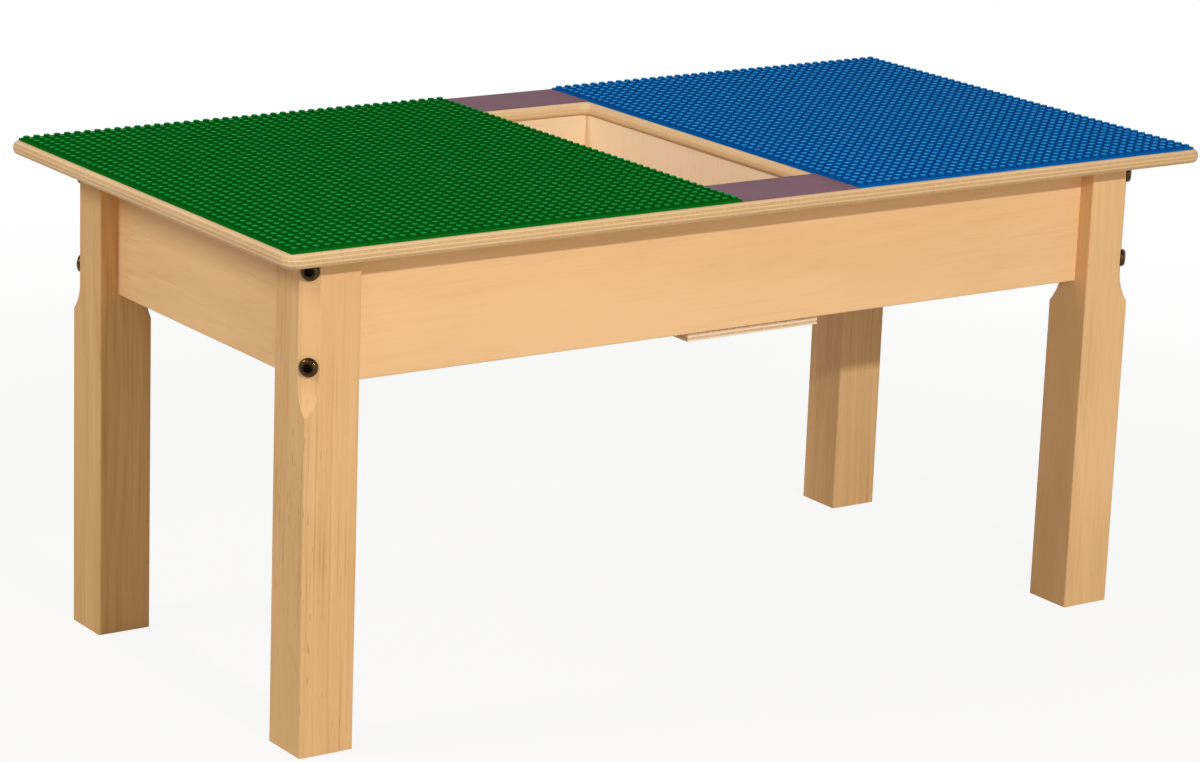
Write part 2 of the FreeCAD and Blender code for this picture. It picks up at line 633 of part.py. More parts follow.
DOWEL_HEIGHTS = ("sizes.leg_length - sizes.dowel_edge", "derived.apron_bottom + sizes.dowel_edge")
DOWEL_BORE = "sizes.dowel_diameter / 2 + sizes.hole_clearance"
FLOOR_BOTTOM = "derived.apron_bottom - sizes.bin_floor_thickness"
FLOOR_SCREW_ROWS = (
    "sizes.floor_screw_edge - derived.apron_inner_y", "0", "derived.apron_inner_y - sizes.floor_screw_edge")
floor_bores = []
floor_screw_places = []
dowel_points = []
for label, x in (
        ("bin_left_wall", "derived.bin_left"),
        ("bin_right_wall", "derived.bin_right - sizes.bin_wall_thickness")):
    board = box(
        f"{label}_board", "sizes.bin_wall_thickness", "2 * derived.apron_inner_y", "sizes.apron_height",
        x, "-derived.apron_inner_y", "derived.apron_bottom")
    middle = f"{x} + sizes.bin_wall_thickness / 2"
    bores = []
    for side in (-1, 1):
        for height in DOWEL_HEIGHTS:
            dowel_points.append((middle, side, height))
            bores.append(rod(
                f"{label}_dowel_{len(dowel_points)}", DOWEL_BORE,
                "sizes.dowel_length / 2 + sizes.hole_clearance",
                middle, f"{side} * derived.apron_inner_y", height, Rotation(Z_AXIS, Y_AXIS * -side)))
    for step, y in enumerate(FLOOR_SCREW_ROWS):
        bores.append(rod(
            f"{label}_pilot_{step}", SHANK_BORE, "sizes.floor_screw_bite + sizes.hole_clearance",
            middle, y, "derived.apron_bottom"))
        floor_bores.append(rod(
            f"{label}_floor_bore_{step}", SHANK_BORE, "sizes.bin_floor_thickness", middle, y, FLOOR_BOTTOM))
        floor_bores.append(rod(
            f"{label}_floor_seat_{step}", HEAD_BORE, "sizes.screw_head_height", middle, y, FLOOR_BOTTOM))
        seat = number(f"{FLOOR_BOTTOM} + sizes.screw_head_height")
        floor_screw_places.append(Placement(Vector(number(middle), number(y), seat), Rotation(X_AXIS, 180)))
    drilled(label, board, bores)
group_of("floor_screws", floor_screw, floor_screw_places)
group_of("bin_dowels", dowel, [
    Placement(Vector(number(x), side * derived.apron_inner_y, number(height)), Rotation(Z_AXIS, Y_AXIS))
    for x, side, height in dowel_points])

# Bin floor, lapped under the long aprons

drilled("bin_floor", box(
    "bin_floor_board", "derived.bin_right - derived.bin_left",
    "2 * (derived.apron_inner_y + sizes.bin_floor_lap)", "sizes.bin_floor_thickness",
    "derived.bin_left", "-derived.apron_inner_y - sizes.bin_floor_lap", FLOOR_BOTTOM), floor_bores)

# Aprons: boards on edge between the legs, made lying down with the inner face at z = 0

APRONS = {
    "front_apron": ("derived.long_apron_length", 0, -1, Rotation(X_AXIS, 90)),
    "rear_apron": ("derived.long_apron_length", 0, 1, Rotation(Z_AXIS, 180).multiply(Rotation(X_AXIS, 90))),
    "left_apron": ("derived.short_apron_length", -1, 0, Rotation(Z_AXIS, -90).multiply(Rotation(X_AXIS, 90))),
    "right_apron": ("derived.short_apron_length", 1, 0, Rotation(Z_AXIS, 90).multiply(Rotation(X_AXIS, 90))),
}
for label, (length, side_x, side_y, rotation) in APRONS.items():
    board = doc.addObject("PartDesign::Body", f"{label}_board")
    face = sketch_on(board, f"{label}_face", "XY_Plane")
    draw_polygon(face, rectangle(f"-{length} / 2", f"{length} / 2", "-sizes.apron_height", 0))
    pad(board, face, "sizes.apron_thickness")
    bottom = -sizes.apron_height
    round_edges(board, f"{label}_lower_edges", "sizes.board_edge_round", lambda edge: (
        runs_along(edge, X_AXIS) and abs(edge.CenterOfMass.y - bottom) < NEAR))
    inner_face = (f"{side_x} * derived.apron_inner_x", f"{side_y} * derived.apron_inner_y")
    place(board, *inner_face, "sizes.leg_length", rotation)
    outwards = Vector(side_x, side_y, 0)
    bores = []
    for point, height, back in apron_screw_points:
        here = Vector(number(point[0]), number(point[1]), 0)
        if (back + outwards).Length < NEAR and here.dot(outwards) > 0:
            bores.append(rod(
                f"{label}_screw_{len(bores)}", SHANK_BORE, "sizes.block_screw_bite + sizes.hole_clearance",
                *point, height, Rotation(Z_AXIS, outwards)))
    for x, side, height in dowel_points:
        if side == side_y:
            bores.append(rod(
                f"{label}_dowel_{len(bores)}", DOWEL_BORE, "sizes.dowel_length / 2 + sizes.hole_clearance",
                x, f"{side} * derived.apron_inner_y", height, Rotation(Z_AXIS, outwards)))
    drilled(label, board, bores)

# Check every object and write each piece

doc.recompute()
failed = [item.Name for item in doc.Objects if {"Invalid", "Error"} & set(item.State)]
failed += [piece.Label for piece in pieces if piece.Shape.isNull() or not piece.Shape.isValid()]
if failed:
    raise RuntimeError(f"not built: {failed}")
os.makedirs("parts", exist_ok=True)
for piece in pieces:
    piece.Shape.exportStep(os.path.join("parts", f"{piece.Label}.step"))
    print(f"{piece.Label}: {len(piece.Shape.Solids)} solid(s), {piece.Shape.Volume:.0f} mm3")
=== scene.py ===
import math
from collections import namedtuple

import bmesh
import bpy
import numpy as np
from mathutils import Matrix, Vector


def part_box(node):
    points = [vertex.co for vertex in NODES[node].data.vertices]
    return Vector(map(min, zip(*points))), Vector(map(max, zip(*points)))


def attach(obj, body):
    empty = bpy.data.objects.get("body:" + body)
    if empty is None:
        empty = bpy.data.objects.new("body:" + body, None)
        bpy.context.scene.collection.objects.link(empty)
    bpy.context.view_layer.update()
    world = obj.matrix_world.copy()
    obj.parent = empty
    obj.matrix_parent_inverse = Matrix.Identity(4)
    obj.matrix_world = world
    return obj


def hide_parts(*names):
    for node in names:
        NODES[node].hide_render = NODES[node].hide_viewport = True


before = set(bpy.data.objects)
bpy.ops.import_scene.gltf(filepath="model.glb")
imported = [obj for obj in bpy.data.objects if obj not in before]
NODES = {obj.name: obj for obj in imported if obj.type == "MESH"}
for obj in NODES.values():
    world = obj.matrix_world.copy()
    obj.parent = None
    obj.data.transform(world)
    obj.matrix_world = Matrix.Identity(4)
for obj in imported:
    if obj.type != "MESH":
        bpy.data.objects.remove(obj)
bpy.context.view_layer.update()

bl_info = {
    "name": "Play table",
    "version": (1, 0, 0),
    "blender": (4, 5, 0),
    "location": "View3D > Sidebar > Play table",
    "description": "Dresses a wooden play table: studded plates, maple boards, plywood and bronze bolts",
    "category": "Object",
}

BODY = "root"
MM = 0.001
AXES = "XYZ"
STUD_SIDES = 12
SHARP_EDGE = math.radians(38.0)
WELD = 1e-6
WHITE = (1.0, 1.0, 1.0)

# How a board is cut: the axis of its grain, how dark it is, the strength of its rings, the tilt of its pith
# and its share of brown flecks
Grain = namedtuple("Grain", "axis tone figure tilt flecked", defaults=(1.0, 0.03, 0.4))

# A lamp's azimuth from the front and its elevation, both in degrees, its width, and the setting that holds
# its power
Lamp = namedtuple("Lamp", "name azimuth elevation width power")


class TableSizes(bpy.types.PropertyGroup):
    """Sizes of the pieces that are modelled here."""

    stud_pitch: bpy.props.FloatProperty(
        name="Stud pitch", description="Distance between neighbouring studs",
        default=8 * MM, unit="LENGTH")
    stud_diameter: bpy.props.FloatProperty(
        name="Stud diameter", description="Width of a stud", default=4.8 * MM, unit="LENGTH")
    stud_height: bpy.props.FloatProperty(
        name="Stud height", description="Height of a stud above its plate", default=1.8 * MM, unit="LENGTH")
    stud_edge: bpy.props.FloatProperty(
        name="Stud edge", description="Width of the bevel round a stud's top",
        default=0.35 * MM, unit="LENGTH")
    plate_thickness: bpy.props.FloatProperty(
        name="Plate thickness", description="Thickness of a plate below its studs",
        default=1.6 * MM, unit="LENGTH")
    ply_count: bpy.props.IntProperty(
        name="Plies", description="Veneers in the plywood top", default=7, min=3)
    floor_ply_count: bpy.props.IntProperty(
        name="Floor plies", description="Veneers in the bin's floor", default=5, min=3)


class TableFinishes(bpy.types.PropertyGroup):
    """Colours of the table's finishes, in linear light."""

    green: bpy.props.FloatVectorProperty(
        name="Green", description="Green plate", subtype="COLOR", default=(0.0008, 0.142, 0.0098))
    # Painted highlight: the paler tops of the green studs stand in for a sheen of light, not for wear.
    green_sheen: bpy.props.FloatVectorProperty(
        name="Worn green", description="Rubbed tops of the green studs", subtype="COLOR",
        default=(0.008, 0.35, 0.062))
    blue: bpy.props.FloatVectorProperty(
        name="Blue", description="Blue plate", subtype="COLOR", default=(0.001, 0.112, 0.425))
    # Painted highlight: the paler tops of the blue studs stand in for a sheen of light, not for wear.
    blue_sheen: bpy.props.FloatVectorProperty(
        name="Worn blue", description="Rubbed tops of the blue studs", subtype="COLOR",
        default=(0.036, 0.41, 0.88))
    purple: bpy.props.FloatVectorProperty(
        name="Purple", description="Strips at the ends of the well", subtype="COLOR",
        default=(0.205, 0.108, 0.148))
    purple_scuffed: bpy.props.FloatVectorProperty(
        name="Scuffed purple", description="Faint scuffs along the strips", subtype="COLOR",
        default=(0.42, 0.34, 0.39))
    maple_pale: bpy.props.FloatVectorProperty(
        name="Pale maple", description="Lightest wood of the boards", subtype="COLOR",
        default=(0.84, 0.54, 0.275))
    maple_honey: bpy.props.FloatVectorProperty(
        name="Honey maple", description="Darker growth of the boards", subtype="COLOR",
        default=(0.61, 0.35, 0.13))
    maple_fleck: bpy.props.FloatVectorProperty(
        name="Fleck", description="Short brown marks along the grain", subtype="COLOR",
        default=(0.28, 0.12, 0.04))
    birch_pale: bpy.props.FloatVectorProperty(
        name="Pale birch", description="Lightest wood of the bin", subtype="COLOR",
        default=(0.96, 0.78, 0.56))
    birch_dark: bpy.props.FloatVectorProperty(
        name="Dark birch", description="Darker growth of the bin's walls", subtype="COLOR",
        default=(0.92, 0.70, 0.46))
    ply_pale: bpy.props.FloatVectorProperty(
        name="Pale ply", description="Veneers that run lengthwise", subtype="COLOR",
        default=(0.80, 0.57, 0.32))
    ply_dark: bpy.props.FloatVectorProperty(
        name="Dark ply", description="Veneers that show end grain", subtype="COLOR",
        default=(0.54, 0.32, 0.145))
    bronze: bpy.props.FloatVectorProperty(
        name="Bronze", description="Coating of the leg bolts", subtype="COLOR",
        default=(0.060, 0.035, 0.014))
    bronze_worn: bpy.props.FloatVectorProperty(
        name="Worn bronze", description="Rubbed spots on the leg bolts", subtype="COLOR",
        default=(0.30, 0.17, 0.06))
    zinc: bpy.props.FloatVectorProperty(
        name="Zinc", description="Plating of the screws and nuts", subtype="COLOR",
        default=(0.56, 0.57, 0.57))
    zinc_dull: bpy.props.FloatVectorProperty(
        name="Dull zinc", description="Dull spots on the screws and nuts", subtype="COLOR",
        default=(0.36, 0.36, 0.35))
    floor: bpy.props.FloatVectorProperty(
        name="Floor", description="Studio floor", subtype="COLOR", default=(0.52, 0.48, 0.42))


class TableStage(bpy.types.PropertyGroup):
    """Camera and light of the studio."""

    camera_place: bpy.props.FloatVectorProperty(
        name="Camera", description="Where the camera stands", subtype="TRANSLATION", unit="LENGTH",
        default=(-1.6026, -2.2867, 0.9338))
    camera_yaw: bpy.props.FloatProperty(
        name="Yaw", description="Turn of the view from +Y towards +X", unit="ROTATION",
        default=math.radians(34.884))
    camera_pitch: bpy.props.FloatProperty(
        name="Pitch", description="Fall of the view below the horizon", unit="ROTATION",
        default=math.radians(15.188))
    camera_roll: bpy.props.FloatProperty(
        name="Roll", description="Turn of the camera about its view", unit="ROTATION",
        default=math.radians(2.136))
    camera_lens: bpy.props.FloatProperty(
        name="Lens", description="Focal length in millimetres on a 36 mm wide sensor", unit="CAMERA",
        default=118.5, min=1.0)
    ambient: bpy.props.FloatProperty(
        name="Ambient", description="Light from all round", default=0.37, min=0.0)
    shade: bpy.props.FloatVectorProperty(
        name="Shade", description="Tint of the light from all round", subtype="COLOR",
        default=(1.0, 0.88, 0.74))
    key_power: bpy.props.FloatProperty(
        name="Key light", description="Power of the front light", default=47.0, unit="POWER")
    side_power: bpy.props.FloatProperty(
        name="Side light", description="Power of the light from the left", default=38.0, unit="POWER")
    fill_power: bpy.props.FloatProperty(
        name="Fill light", description="Power of the wide low light in front", default=14.0, unit="POWER")


class Socket:
    """An output socket of a graph; sums on it add Math nodes."""

    def __init__(self, graph, output):
        self.graph = graph
        self.output = output

    def _sum(self, operation, first, second, clamp=False):
        return self.graph.node(
            "ShaderNodeMath", {"operation": operation, "use_clamp": clamp}, {0: first, 1: second})

    def __add__(self, other):
        return self._sum("ADD", self, other)

    def __radd__(self, other):
        return self._sum("ADD", other, self)

    def __sub__(self, other):
        return self._sum("SUBTRACT", self, other)

    def __rsub__(self, other):
        return self._sum("SUBTRACT", other, self)

    def __mul__(self, other):
        return self._sum("MULTIPLY", self, other)

    def __rmul__(self, other):
        return self._sum("MULTIPLY", other, self)

    def __truediv__(self, other):
        return self._sum("DIVIDE", self, other)

    def __mod__(self, other):
        return self._sum("FLOORED_MODULO", self, other)

    def __abs__(self):
        return self._sum("ABSOLUTE", self, 0.0)

    def held(self):
        """The value, held between 0 and 1."""
        return self._sum("ADD", self, 0.0, clamp=True)


class Graph:
    """A node tree under construction."""

    def __init__(self, tree):
        self.tree = tree
        self.tree.nodes.clear()

    def put(self, socket, value):
        """Links a socket to a value's output, or sets it to a plain value."""
        if isinstance(value, Socket):
            self.tree.links.new(value.output, socket)
        elif hasattr(value, "__len__") and len(value) < len(socket.default_value):
            socket.default_value = (*value, 1.0)
        else:
            socket.default_value = value

    def node(self, kind, settings=None, inputs=None, out=0):
        """Adds any node: its settings first, then the values or links of its sockets."""
        made = self.tree.nodes.new(kind)
        for name, value in (settings or {}).items():
            setattr(made, name, value)
        for name, value in (inputs or {}).items():
            self.put(made.inputs[name], value)
        return Socket(self, made.outputs[out]) if made.outputs else None

    def seen(self):
        """1 for rays that come from the camera, or by way of a mirror or glass, and 0 for light."""
        camera, mirror, glass = (
            self.node("ShaderNodeLightPath", out=f"Is {ray} Ray")
            for ray in ("Camera", "Glossy", "Transmission"))
        return (camera + mirror + glass).held()


class Finish(Graph):
    """A material under construction, round one Principled shader."""

    def __init__(self, name):
        self.material = bpy.data.materials.new(name)
        self.material.use_nodes = True
        super().__init__(self.material.node_tree)
        self.shader = self.node("ShaderNodeBsdfPrincipled")
        self.end = self.tree.nodes.new("ShaderNodeOutputMaterial").inputs["Surface"]
        self.put(self.end, self.shader)

    def surface(self, **sockets):
        """Sets or links the shader's own sockets, named with _ for a space."""
        for name, value in sockets.items():
            self.put(self.shader.output.node.inputs[name.replace("_", " ")], value)

    def mix(self, share, first, second):
        """A colour between two, by a share from 0 to 1."""
        return self.node("ShaderNodeMix", {"data_type": "RGBA"}, {0: share, 6: first, 7: second}, out=2)

    def place(self, scale=(1.0, 1.0, 1.0), shift=(0.0, 0.0, 0.0)):
        """Object coordinates, shifted, and scaled along each axis to so many units to the metre."""
        coordinates = self.node("ShaderNodeTexCoord", out="Object")
        return self.node(
            "ShaderNodeMapping", inputs={"Vector": coordinates, "Scale": scale, "Location": shift})

    def axis(self, name):
        """One object coordinate as a number."""
        coordinates = self.node("ShaderNodeTexCoord", out="Object")
        return self.node("ShaderNodeSeparateXYZ", inputs={"Vector": coordinates}, out=name)

    def length(self, vector):
        """The length of a vector."""
        return self.node("ShaderNodeVectorMath", {"operation": "LENGTH"}, {0: vector}, out="Value")

    def reach(self, first, second):
        """The distance that two offsets at right angles add up to."""
        return self.node("ShaderNodeMath", {"operation": "SQRT"}, {0: first * first + second * second})

    def noise(self, vector, detail=2.0, roughness=0.5):
        """Smooth noise from 0 to 1 over a vector."""
        return self.node(
            "ShaderNodeTexNoise",
            inputs={"Vector": vector, "Scale": 1.0, "Detail": detail, "Roughness": roughness}, out="Fac")

    def band(self, value, low, high):
        """0 below low, 1 above high and a smooth rise between."""
        return self.node(
            "ShaderNodeMapRange", {"interpolation_type": "SMOOTHSTEP"},
            {"Value": value, "From Min": low, "From Max": high})

    def bump(self, height, strength, distance):
        """A normal bent by a height."""
        return self.node(
            "ShaderNodeBump", inputs={"Height": height, "Strength": strength, "Distance": distance})


def toned(colour, share):
    """A colour made darker or lighter."""
    return tuple(share * level for level in colour)


def along_grain(axis, along, across):
    """Scales for a texture that is stretched along one axis."""
    return tuple(along if name == axis else across for name in AXES)


def maple(name, grain, seed, pale, honey, fleck):
    """Lacquered maple. Growth rings are bands of the distance from a pith that runs beside the board at a
    small tilt, so that flat faces show long arches; slow noise fades them in and out. Fine lines, fibres and
    short brown flecks are noise drawn out along the grain."""
    ring_density, ring_sway = 140.0, 6.0
    finish = Finish(name)
    axis = grain.axis
    along = AXES.index(axis)
    shift = (seed * 3.7, seed * 1.9, seed * 5.3)
    lean = [0.0, 0.0, 0.0]
    lean[(along + 1) % 3] = grain.tilt
    lean[(along + 2) % 3] = grain.tilt * 0.4
    pith = [
        0.05 + 0.03 * math.sin(seed * 2.3), 0.06 + 0.03 * math.cos(seed * 1.7),
        0.05 + 0.02 * math.sin(seed * 3.1)]
    pith[along] = 0.0
    leaning = finish.node("ShaderNodeMapping", inputs={"Vector": finish.place(), "Rotation": lean})
    spoke = finish.node("ShaderNodeMapping", inputs={
        "Vector": leaning, "Scale": along_grain(axis, 0.0, 1.0), "Location": pith})

    slow = finish.noise(finish.place(along_grain(axis, 2.5, 11.0), shift))
    sway = finish.noise(finish.place(along_grain(axis, 3.0, 7.0), shift[::-1]), detail=1.0)
    patch = finish.noise(finish.place(along_grain(axis, 7.0, 24.0), shift), detail=1.0)
    rings = finish.node(
        "ShaderNodeTexNoise", {"noise_dimensions": "1D"},
        {"W": finish.length(spoke) * ring_density + sway * ring_sway,
         "Scale": 1.0, "Detail": 2.0, "Roughness": 0.6}, out="Fac")
    fibre = finish.noise(finish.place(along_grain(axis, 30.0, 1300.0), shift), detail=3.0, roughness=0.6)
    lines = finish.noise(finish.place(along_grain(axis, 9.0, 520.0), shift))
    dash = finish.noise(finish.place(along_grain(axis, 90.0, 820.0), shift[::-1]), detail=0.0)
    cloud = finish.noise(finish.place(along_grain(axis, 10.0, 30.0), shift), detail=3.0)

    fade = finish.band(patch, 0.34, 0.66)
    lined = 0.3 + 0.7 * fade
    growth = (
        0.5 + grain.tone + (rings - 0.5) * (0.25 + 0.75 * fade) * grain.figure
        + (slow - 0.5) * 0.9 + (cloud - 0.5) * 0.45
        + (lines - 0.5) * lined * grain.figure + (fibre - 0.5) * 0.22).held()
    thin = finish.band(lines, 0.60, 0.70) * lined * (0.6 * grain.flecked)
    flecks = finish.band(dash, 0.72, 0.80) * finish.band(slow, 0.42, 0.60) * grain.flecked
    wood = finish.mix(growth, pale, honey)
    finish.surface(
        Base_Color=finish.mix((thin + flecks).held(), wood, fleck),
        Roughness=0.46 + 0.14 * fibre + 0.06 * slow,
        Normal=finish.bump(fibre * 0.6 + lines * 0.4 - flecks, 0.18, 0.3 * MM),
        Specular_IOR_Level=0.28, Coat_Weight=0.05, Coat_Roughness=0.3)
    return finish.material


def plywood(name, low, high, plies, pale, dark, seed, sanded=None):
    """Lacquered plywood. The height picks the veneer; every second veneer shows end grain, a thin dark glue
    line parts them, and slow noise makes the lines waver. Flat faces lie in one veneer and show only its
    lengthwise grain. Where a sanded region is given, a value from 0 to 1 over the surface, the veneers hardly
    differ."""
    waviness, glue_depth, sanding = 0.34, 0.62, 0.75
    finish = Finish(name)
    shift = (seed * 2.1, seed * 4.3, seed * 0.7)
    waver = finish.noise(finish.place((9.0, 9.0, 40.0), shift))
    layer = (finish.axis("Z") - low) / (high - low) * float(plies) + (waver - 0.5) * waviness
    inner = finish.band(layer, 0.4, 0.6) * (1.0 - finish.band(layer, plies - 0.6, plies - 0.4))
    sawn = 1.0 - sanding * sanded(finish) if sanded else 1.0
    glue = finish.band(abs(layer % 1.0 - 0.5), 0.40, 0.49) * inner * sawn
    pair = layer % 2.0
    cross = finish.band(pair, 0.98, 1.02) * (1.0 - finish.band(pair, 1.96, 2.0)) * inner * sawn
    pores = finish.noise(finish.place((700.0, 700.0, 260.0), shift), roughness=0.6)
    fibre = finish.noise(finish.place((18.0, 700.0, 900.0), shift), detail=3.0, roughness=0.6)
    slow = finish.noise(finish.place((3.0, 16.0, 16.0), shift))
    drift = (slow - 0.5) * 0.8
    lengthwise = finish.mix(((0.24 + (fibre - 0.5) * 0.5 + drift) * sawn).held(), pale, dark)
    end_grain = finish.mix((0.72 + (pores - 0.5) * 1.2 + drift).held(), pale, dark)
    veneer = finish.mix(cross, lengthwise, end_grain)
    finish.surface(
        Base_Color=finish.mix(glue * glue_depth, veneer, toned(dark, 0.5)),
        Roughness=0.46 + 0.10 * cross + 0.12 * fibre,
        Normal=finish.bump(fibre * 0.4 + pores * cross * 0.6 - glue, 0.25, 0.3 * MM),
        Specular_IOR_Level=0.28, Coat_Weight=0.05, Coat_Roughness=0.3)
    return finish.material


def moulded_plastic(name, colour, wear_and_sheen_colour, low, top, sizes):
    """Moulded plastic of a studded plate: the plain colour between the studs, painted shade that deepens it
    on their sides and tops, and a painted highlight, a paler sheen, on the middle of each stud's top, which
    is found by the distance from the nearest stud's axis; with faint haze and ripple from the mould."""
    finish = Finish(name)
    pitch, bevel = sizes.stud_pitch, sizes.stud_edge
    face = low[2] + sizes.plate_thickness
    sheen_within, sheen_until = 0.37 * sizes.stud_diameter, 0.46 * sizes.stud_diameter
    haze = finish.noise(finish.place((420.0, 420.0, 420.0)), detail=3.0, roughness=0.6)
    drift = finish.noise(finish.place((60.0, 60.0, 60.0)))
    height = finish.axis("Z")
    across = (finish.axis("X") - low[0]) % pitch - pitch / 2
    along = (finish.axis("Y") - low[1]) % pitch - pitch / 2
    # Painted highlight: a paler sheen over the middle of each stud's top.
    crown = finish.band(height, top - bevel, top)
    wear_and_sheen = (1.0 - finish.band(finish.reach(across, along), sheen_within, sheen_until)) * crown
    # Painted shade: above the face between the studs, on their sides and tops, the colour is deeper.
    side = finish.band(height, face, face + bevel)
    body = finish.mix(
        (0.15 + 0.7 * side + (haze - 0.5) * 0.4 + (drift - 0.5) * 0.3).held(), colour, toned(colour, 0.7))
    finish.surface(
        Base_Color=finish.mix((wear_and_sheen * (0.9 + (drift - 0.5) * 0.8)).held(), body, wear_and_sheen_colour),
        Roughness=0.32 + 0.14 * haze,
        Normal=finish.bump(haze, 0.05, 0.2 * MM),
        Specular_IOR_Level=0.0, Coat_Weight=0.03, Coat_Roughness=0.22)
    return finish.material


def laminate(name, colour, scuffed):
    """Matte laminate strip: a fine paper mottle under a thin film, with faint scuffs along it."""
    finish = Finish(name)
    mottle = finish.noise(finish.place((900.0, 900.0, 900.0)), detail=3.0, roughness=0.65)
    cloud = finish.noise(finish.place((36.0, 36.0, 36.0)))
    scuff = finish.noise(finish.place((30.0, 1400.0, 30.0)))
    scratches = finish.band(scuff, 0.66, 0.76) * 0.16
    paper = finish.mix(
        (0.5 + (mottle - 0.5) * 0.9 + (cloud - 0.5) * 0.7).held(), toned(colour, 0.86), toned(colour, 1.16))
    finish.surface(
        Base_Color=finish.mix(scratches, paper, scuffed),
        Roughness=0.44 + 0.12 * mottle - 0.3 * scratches,
        Normal=finish.bump(mottle, 0.08, 0.2 * MM),
        Specular_IOR_Level=0.02)
    return finish.material


def coated_metal(name, colour, wear_and_sheen_colour, wear, rough, recess=None):
    """Coated steel: a dark or plated skin with rubbed spots where slow noise is high, and fine speckle. Where
    a recess is given, a value from 0 to 1 over the surface, painted shade makes the skin nearly black there,
    and dull."""
    finish = Finish(name)
    cloud = finish.noise(finish.place((260.0, 260.0, 260.0)), detail=3.0, roughness=0.6)
    speckle = finish.noise(finish.place((2600.0, 2600.0, 2600.0)))
    wear_and_sheen = finish.band(cloud * 0.75 + speckle * 0.25, 0.50, 0.72) * wear
    skin = finish.mix(wear_and_sheen, colour, wear_and_sheen_colour)
    roughness = rough + 0.10 * speckle + 0.06 * cloud
    # Painted shade: the sockets and a ring round them are darkened as if in shadow.
    if recess:
        socket_shade = recess(finish)
        skin = finish.mix(socket_shade, skin, toned(colour, 0.2))
        roughness = roughness + 0.4 * socket_shade
    finish.surface(
        Base_Color=skin, Metallic=1.0, Roughness=roughness, Normal=finish.bump(speckle, 0.06, 0.1 * MM))
    return finish.material


def dress(node, material):
    """Gives a CAD node its finish."""
    slots = NODES[node].data.materials
    slots.clear()
    slots.append(material)


def studded_plate(name, node, sizes):
    """A studded plate. Each cell of the plate is one patch of rings at evenly spaced angles: the first ring
    lies on the cell's square edge, the next ones are circles at the stud's foot, below its bevel and round
    its top, which a cap closes. The patch is repeated over the grid of cells by adding each cell's middle,
    and the rim is drawn down to the plate's under side."""
    low, high = (np.array(corner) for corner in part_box(node))
    pitch, radius, bevel = sizes.stud_pitch, sizes.stud_diameter / 2, sizes.stud_edge
    face = low[2] + sizes.plate_thickness
    top = face + sizes.stud_height
    step = np.arange(STUD_SIDES)
    angles = (step + 0.5) * 2.0 * np.pi / STUD_SIDES
    ray = np.stack([np.cos(angles), np.sin(angles)], axis=1)
    square = ray / np.abs(ray).max(axis=1, keepdims=True) * pitch / 2
    rings = [
        (square, face),
        (ray * radius, face),
        (ray * radius, top - bevel),
        (ray * (radius - bevel), top),
    ]
    patch = np.concatenate([np.column_stack([flat, np.full(STUD_SIDES, height)]) for flat, height in rings])
    counts = np.rint((high - low)[:2] / pitch).astype(int)
    columns, rows = np.meshgrid(np.arange(counts[0]), np.arange(counts[1]), indexing="ij")
    middles = np.stack([
        low[0] + (columns.ravel() + 0.5) * pitch, low[1] + (rows.ravel() + 0.5) * pitch,
        np.zeros(columns.size)], axis=1)
    points = (middles[:, None, :] + patch[None, :, :]).reshape(-1, 3)

    belt = np.stack([step, (step + 1) % STUD_SIDES], axis=1)
    belts = np.concatenate([
        np.hstack([belt, belt[:, ::-1] + STUD_SIDES]) + ring * STUD_SIDES for ring in range(len(rings) - 1)])
    offsets = np.arange(columns.size) * len(patch)
    quads = (offsets[:, None, None] + belts[None, :, :]).reshape(-1, 4)
    caps = offsets[:, None] + (len(rings) - 1) * STUD_SIDES + step[None, :]
    mesh = bpy.data.meshes.new(name)
    mesh.from_pydata(points.tolist(), [], quads.tolist() + caps.tolist())

    work = bmesh.new()
    work.from_mesh(mesh)
    bmesh.ops.remove_doubles(work, verts=work.verts, dist=WELD)
    rim = [edge for edge in work.edges if edge.is_boundary]
    drawn = bmesh.ops.extrude_edge_only(work, edges=rim)["geom"]
    skirt = [item for item in drawn if isinstance(item, bmesh.types.BMVert)]
    bmesh.ops.translate(work, verts=skirt, vec=(0.0, 0.0, -sizes.plate_thickness))
    hem = [item for item in drawn if isinstance(item, bmesh.types.BMEdge)]
    bmesh.ops.edgeloop_fill(work, edges=hem)
    bmesh.ops.recalc_face_normals(work, faces=work.faces)
    work.to_mesh(mesh)
    work.free()
    mesh.shade_smooth()
    mesh.set_sharp_from_angle(angle=SHARP_EDGE)
    plate = bpy.data.objects.new(name, mesh)
    bpy.context.scene.collection.objects.link(plate)
    return plate


class TABLE_OT_plates(bpy.types.Operator):
    """Models the green and the blue studded plate"""

    bl_idname = "play_table.plates"
    bl_label = "Studded plates"

    def execute(self, context):
        sizes, colours = context.scene.table_sizes, context.scene.table_finishes
        # Each plate has its colour and the colour of the painted highlight on its studs' tops.
        for name, node, slot, colour, wear_and_sheen_colour in (
                ("green_studs", "green_plate", "green_plastic", colours.green, colours.green_sheen),
                ("blue_studs", "blue_plate", "blue_plastic", colours.blue, colours.blue_sheen)):
            plate = studded_plate(name, node, sizes)
            low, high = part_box(node)
            plate.data.materials.append(moulded_plastic(slot, colour, wear_and_sheen_colour, low, high[2], sizes))
            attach(plate, BODY)
            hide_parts(node)
        return {"FINISHED"}


